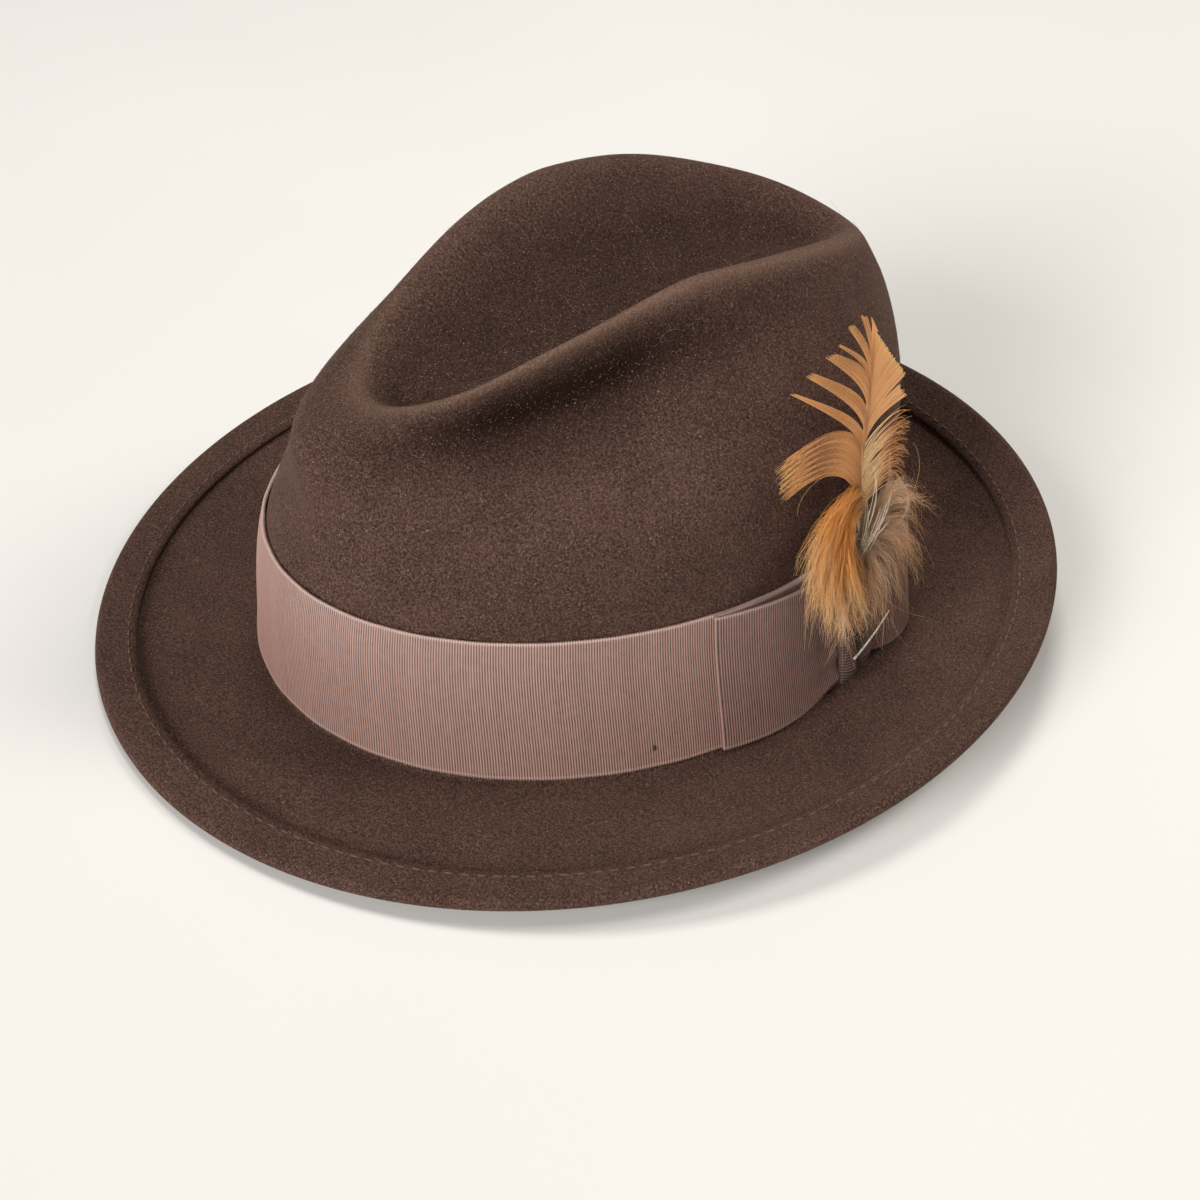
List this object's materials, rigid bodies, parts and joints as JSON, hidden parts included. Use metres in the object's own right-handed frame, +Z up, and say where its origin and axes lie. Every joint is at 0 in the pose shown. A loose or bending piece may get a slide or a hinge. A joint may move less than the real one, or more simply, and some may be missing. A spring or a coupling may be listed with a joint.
{
  "type": "fedora hat",
  "caption": "Brown felt fedora with a creased, pinched crown, a welted brim turned up at the back, a ribbed ribbon band with a flat side bow, and a feather spray tucked into the bow.",
  "frame": {"origin": "under the middle of the brim, on the surface that the hat rests on", "axes": "+Z up, -Y to the front of the hat, +X to the wearer's left, where the bow is"},
  "size_m": [0.2794, 0.3026, 0.1274],
  "materials": {
    "felt": "napped fur felt",
    "ribbon": "ribbed grosgrain",
    "thread": "twisted thread",
    "sweat_leather": "smooth",
    "reed": "extruded",
    "satin": "satin",
    "quill": "horn",
    "tan_barbs": "feather barbs",
    "pale_barbs": "feather barbs",
    "orange_down": "fluffy down",
    "grey_down": "fluffy down"
  },
  "bodies": {
    "hat": {"felt_body": "felt", "welt_stitching": "thread", "hat_band": "ribbon", "bow_front_wing": "ribbon", "bow_rear_wing": "ribbon", "bow_knot": "ribbon", "band_tack_1": "thread", "band_tack_2": "thread", "band_tack_3": "thread", "sweatband": "sweat_leather", "sweatband_reed": "reed", "sweatband_stitching": "thread", "sweatband_bow": "ribbon", "lining_side": "satin", "lining_tip": "satin", "lining_piping": "satin"},
    "feather_spray": {"feather_shaft": "quill", "spray_binding": "thread", "main_feather": "tan_barbs", "curled_feather": "tan_barbs", "pale_feather": "pale_barbs", "orange_hackle": "orange_down", "grey_down": "grey_down", "quill_stub": "quill"}
  },
  "joints": [
    {"name": "spray_slide", "type": "slide", "parent": "hat", "child": "feather_spray", "axis": [-0.0923, -0.0164, 0.9956], "range_m": [0, 0.045]}
  ]
}
